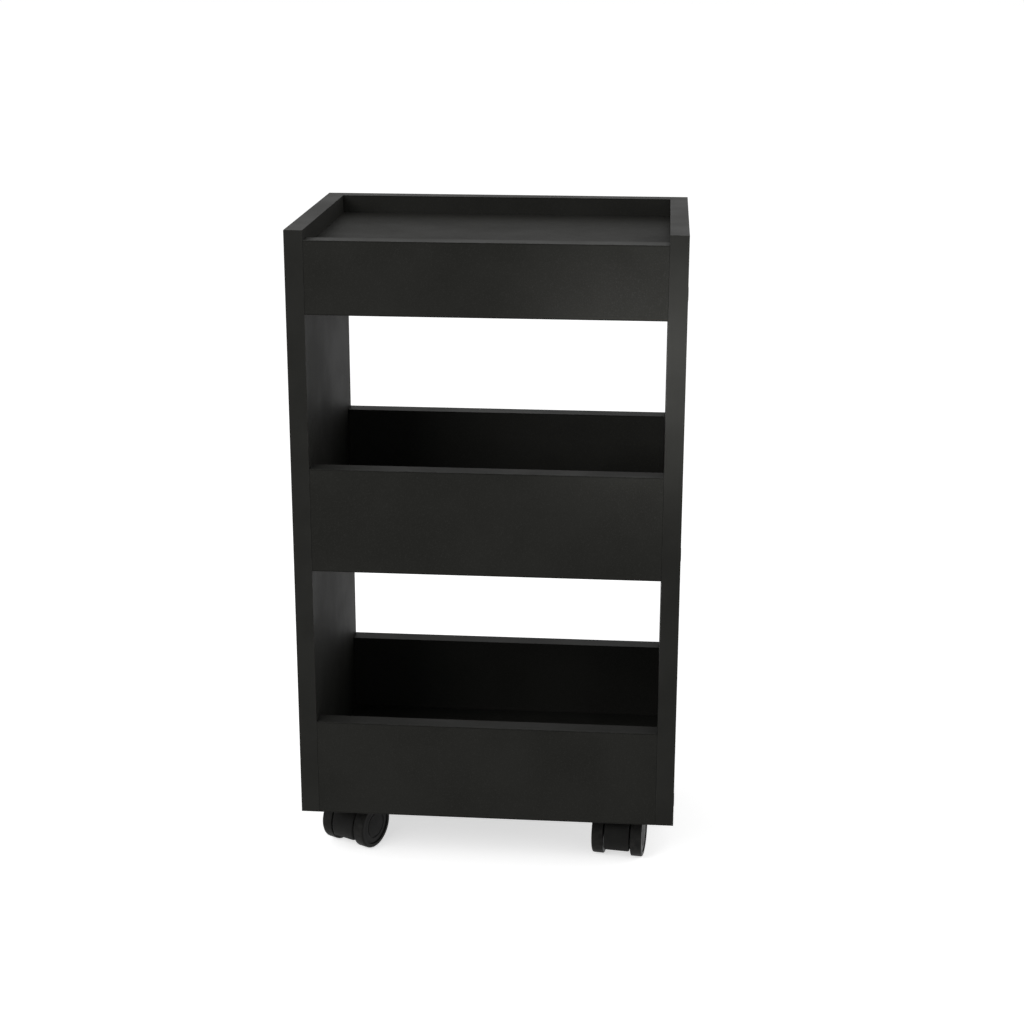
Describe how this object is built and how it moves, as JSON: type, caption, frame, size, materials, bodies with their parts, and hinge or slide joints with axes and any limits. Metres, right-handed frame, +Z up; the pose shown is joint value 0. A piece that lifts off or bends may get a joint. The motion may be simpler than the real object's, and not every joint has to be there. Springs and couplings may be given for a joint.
{
  "type": "spa trolley cart",
  "caption": "Narrow rolling trolley with three open trays between side panels, each with front and back rails, on twin-wheel swivel casters.",
  "frame": {"origin": "on the floor, under the middle of the cart", "axes": "+Z up, -Y towards the front, +X to the right of someone facing the front"},
  "size_m": [0.3806, 0.25, 0.662],
  "materials": {
    "black_melamine": "matte black melamine on particle board, faint pore texture",
    "edge_band": "matte black PVC edge band",
    "screw_cap": "matte black stick-on cap",
    "zinc_steel": "bright zinc plate",
    "black_steel": "black powder coat",
    "beech_dowel": "bare beech",
    "black_nylon": "moulded black nylon, fine grain",
    "wheel_plastic": "moulded black polypropylene, worn tread",
    "hub_cap_plastic": "moulded black plastic, satin"
  },
  "bodies": {
    "carcass": {"left_side_panel": "black_melamine", "right_side_panel": "black_melamine", "top_shelf": "black_melamine", "middle_shelf": "black_melamine", "bottom_shelf": "black_melamine", "top_front_rail": "black_melamine", "middle_front_rail": "black_melamine", "bottom_front_rail": "black_melamine", "top_back_rail": "black_melamine", "middle_back_rail": "black_melamine", "bottom_back_rail": "black_melamine", "left_panel_edge_bands": "edge_band", "right_panel_edge_bands": "edge_band", "front_rail_edge_bands": "edge_band", "back_rail_edge_bands": "edge_band", "left_joint_screws": "zinc_steel", "right_joint_screws": "zinc_steel", "left_screw_caps": "screw_cap", "right_screw_caps": "screw_cap", "rail_dowels": "beech_dowel", "shelf_dowels": "beech_dowel", "caster_plate_screws": "zinc_steel", "stem_clips": "zinc_steel", "front_left_plate": "black_steel", "front_left_stem": "zinc_steel", "front_right_plate": "black_steel", "front_right_stem": "zinc_steel", "rear_left_plate": "black_steel", "rear_left_stem": "zinc_steel", "rear_right_plate": "black_steel", "rear_right_stem": "zinc_steel"},
    "front_left_caster": {"front_left_hood": "black_nylon", "front_left_axle": "zinc_steel", "front_left_push_nuts": "zinc_steel"},
    "front_left_inner_roller": {"front_left_inner_wheel": "wheel_plastic", "front_left_inner_hub_cap": "hub_cap_plastic"},
    "front_left_outer_roller": {"front_left_outer_wheel": "wheel_plastic", "front_left_outer_hub_cap": "hub_cap_plastic"},
    "front_right_caster": {"front_right_hood": "black_nylon", "front_right_axle": "zinc_steel", "front_right_push_nuts": "zinc_steel"},
    "front_right_inner_roller": {"front_right_inner_wheel": "wheel_plastic", "front_right_inner_hub_cap": "hub_cap_plastic"},
    "front_right_outer_roller": {"front_right_outer_wheel": "wheel_plastic", "front_right_outer_hub_cap": "hub_cap_plastic"},
    "rear_left_caster": {"rear_left_hood": "black_nylon", "rear_left_axle": "zinc_steel", "rear_left_push_nuts": "zinc_steel"},
    "rear_left_inner_roller": {"rear_left_inner_wheel": "wheel_plastic", "rear_left_inner_hub_cap": "hub_cap_plastic"},
    "rear_left_outer_roller": {"rear_left_outer_wheel": "wheel_plastic", "rear_left_outer_hub_cap": "hub_cap_plastic"},
    "rear_right_caster": {"rear_right_hood": "black_nylon", "rear_right_axle": "zinc_steel", "rear_right_push_nuts": "zinc_steel"},
    "rear_right_inner_roller": {"rear_right_inner_wheel": "wheel_plastic", "rear_right_inner_hub_cap": "hub_cap_plastic"},
    "rear_right_outer_roller": {"rear_right_outer_wheel": "wheel_plastic", "rear_right_outer_hub_cap": "hub_cap_plastic"}
  },
  "joints": [
    {"name": "front_left_swivel", "type": "hinge", "parent": "carcass", "child": "front_left_caster", "pos_m": [-0.137, -0.0505, 0.058], "axis": [0, 0, 1], "continuous": true},
    {"name": "front_left_inner_spin", "type": "hinge", "parent": "front_left_caster", "child": "front_left_inner_roller", "pos_m": [-0.14426, -0.06476, 0.025], "axis": [0.891, -0.454, 0], "continuous": true},
    {"name": "front_left_outer_spin", "type": "hinge", "parent": "front_left_caster", "child": "front_left_outer_roller", "pos_m": [-0.14426, -0.06476, 0.025], "axis": [0.891, -0.454, 0], "continuous": true},
    {"name": "front_right_swivel", "type": "hinge", "parent": "carcass", "child": "front_right_caster", "pos_m": [0.137, -0.0505, 0.058], "axis": [0, 0, 1], "continuous": true},
    {"name": "front_right_inner_spin", "type": "hinge", "parent": "front_right_caster", "child": "front_right_inner_roller", "pos_m": [0.13505, -0.06638, 0.025], "axis": [0.9925, -0.1219, 0], "continuous": true},
    {"name": "front_right_outer_spin", "type": "hinge", "parent": "front_right_caster", "child": "front_right_outer_roller", "pos_m": [0.13505, -0.06638, 0.025], "axis": [0.9925, -0.1219, 0], "continuous": true},
    {"name": "rear_left_swivel", "type": "hinge", "parent": "carcass", "child": "rear_left_caster", "pos_m": [-0.137, 0.0505, 0.058], "axis": [0, 0, 1], "continuous": true},
    {"name": "rear_left_inner_spin", "type": "hinge", "parent": "rear_left_caster", "child": "rear_left_inner_roller", "pos_m": [-0.14194, 0.03528, 0.025], "axis": [0.9511, -0.309, 0], "continuous": true},
    {"name": "rear_left_outer_spin", "type": "hinge", "parent": "rear_left_caster", "child": "rear_left_outer_roller", "pos_m": [-0.14194, 0.03528, 0.025], "axis": [0.9511, -0.309, 0], "continuous": true},
    {"name": "rear_right_swivel", "type": "hinge", "parent": "carcass", "child": "rear_right_caster", "pos_m": [0.137, 0.0505, 0.058], "axis": [0, 0, 1], "continuous": true},
    {"name": "rear_right_inner_spin", "type": "hinge", "parent": "rear_right_caster", "child": "rear_right_inner_roller", "pos_m": [0.13367, 0.03485, 0.025], "axis": [0.9781, -0.2079, 0], "continuous": true},
    {"name": "rear_right_outer_spin", "type": "hinge", "parent": "rear_right_caster", "child": "rear_right_outer_roller", "pos_m": [0.13367, 0.03485, 0.025], "axis": [0.9781, -0.2079, 0], "continuous": true}
  ]
}
